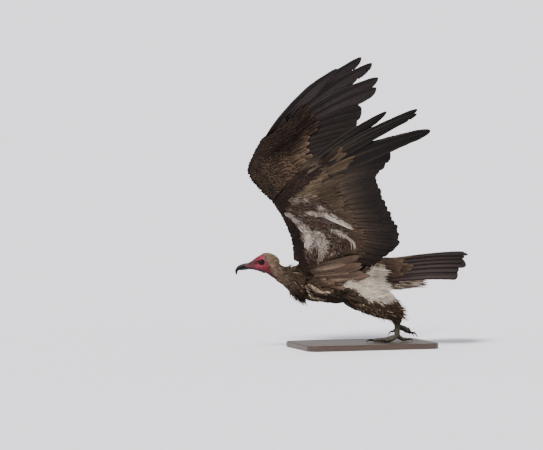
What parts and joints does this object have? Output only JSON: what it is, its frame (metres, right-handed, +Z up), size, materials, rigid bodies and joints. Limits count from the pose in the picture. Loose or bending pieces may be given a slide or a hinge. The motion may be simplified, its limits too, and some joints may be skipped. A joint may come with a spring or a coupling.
{
  "type": "vulture model",
  "caption": "Still life-size model of a small hooded vulture taking off, wings raised, one foot down, on a flat wooden display base",
  "frame": {"origin": "centre of the underside of the display base", "axes": "+Z is up, the bird heads along -X, and its left side is at -Y"},
  "size_m": [0.671, 0.4799, 0.8199],
  "materials": {
    "plumage": "matte",
    "flight": "matte",
    "down": "matte",
    "hood": "matte",
    "face": "satin",
    "scute": "satin",
    "horn": "satin",
    "eye": "gloss",
    "stand": "satin"
  },
  "bodies": {
    "root": {"bill_lower": "horn", "bill_upper": "horn", "claw_left_hind": "horn", "claw_left_inner": "horn", "claw_left_middle": "horn", "claw_left_outer": "horn", "claw_right_hind": "horn", "claw_right_inner": "horn", "claw_right_middle": "horn", "claw_right_outer": "horn", "eye_left": "eye", "eye_right": "eye", "head": "face", "neck": "hood", "stand_base": "stand", "tail": "flight", "tarsus_left": "scute", "tarsus_right": "scute", "thigh_left": "plumage", "thigh_right": "plumage", "toe_left_hind": "scute", "toe_left_inner": "scute", "toe_left_middle": "scute", "toe_left_outer": "scute", "toe_right_hind": "scute", "toe_right_inner": "scute", "toe_right_middle": "scute", "toe_right_outer": "scute", "trunk": "plumage", "undertail_coverts": "down", "wing_left_alula": "flight", "wing_left_axillaries": "flight", "wing_left_forearm": "plumage", "wing_left_hand": "plumage", "wing_left_primaries": "flight", "wing_left_secondaries": "flight", "wing_left_tertials": "flight", "wing_left_upper_arm": "plumage", "wing_right_alula": "flight", "wing_right_axillaries": "flight", "wing_right_forearm": "plumage", "wing_right_hand": "plumage", "wing_right_primaries": "flight", "wing_right_secondaries": "flight", "wing_right_tertials": "flight", "wing_right_upper_arm": "plumage"}
  },
  "joints": []
}
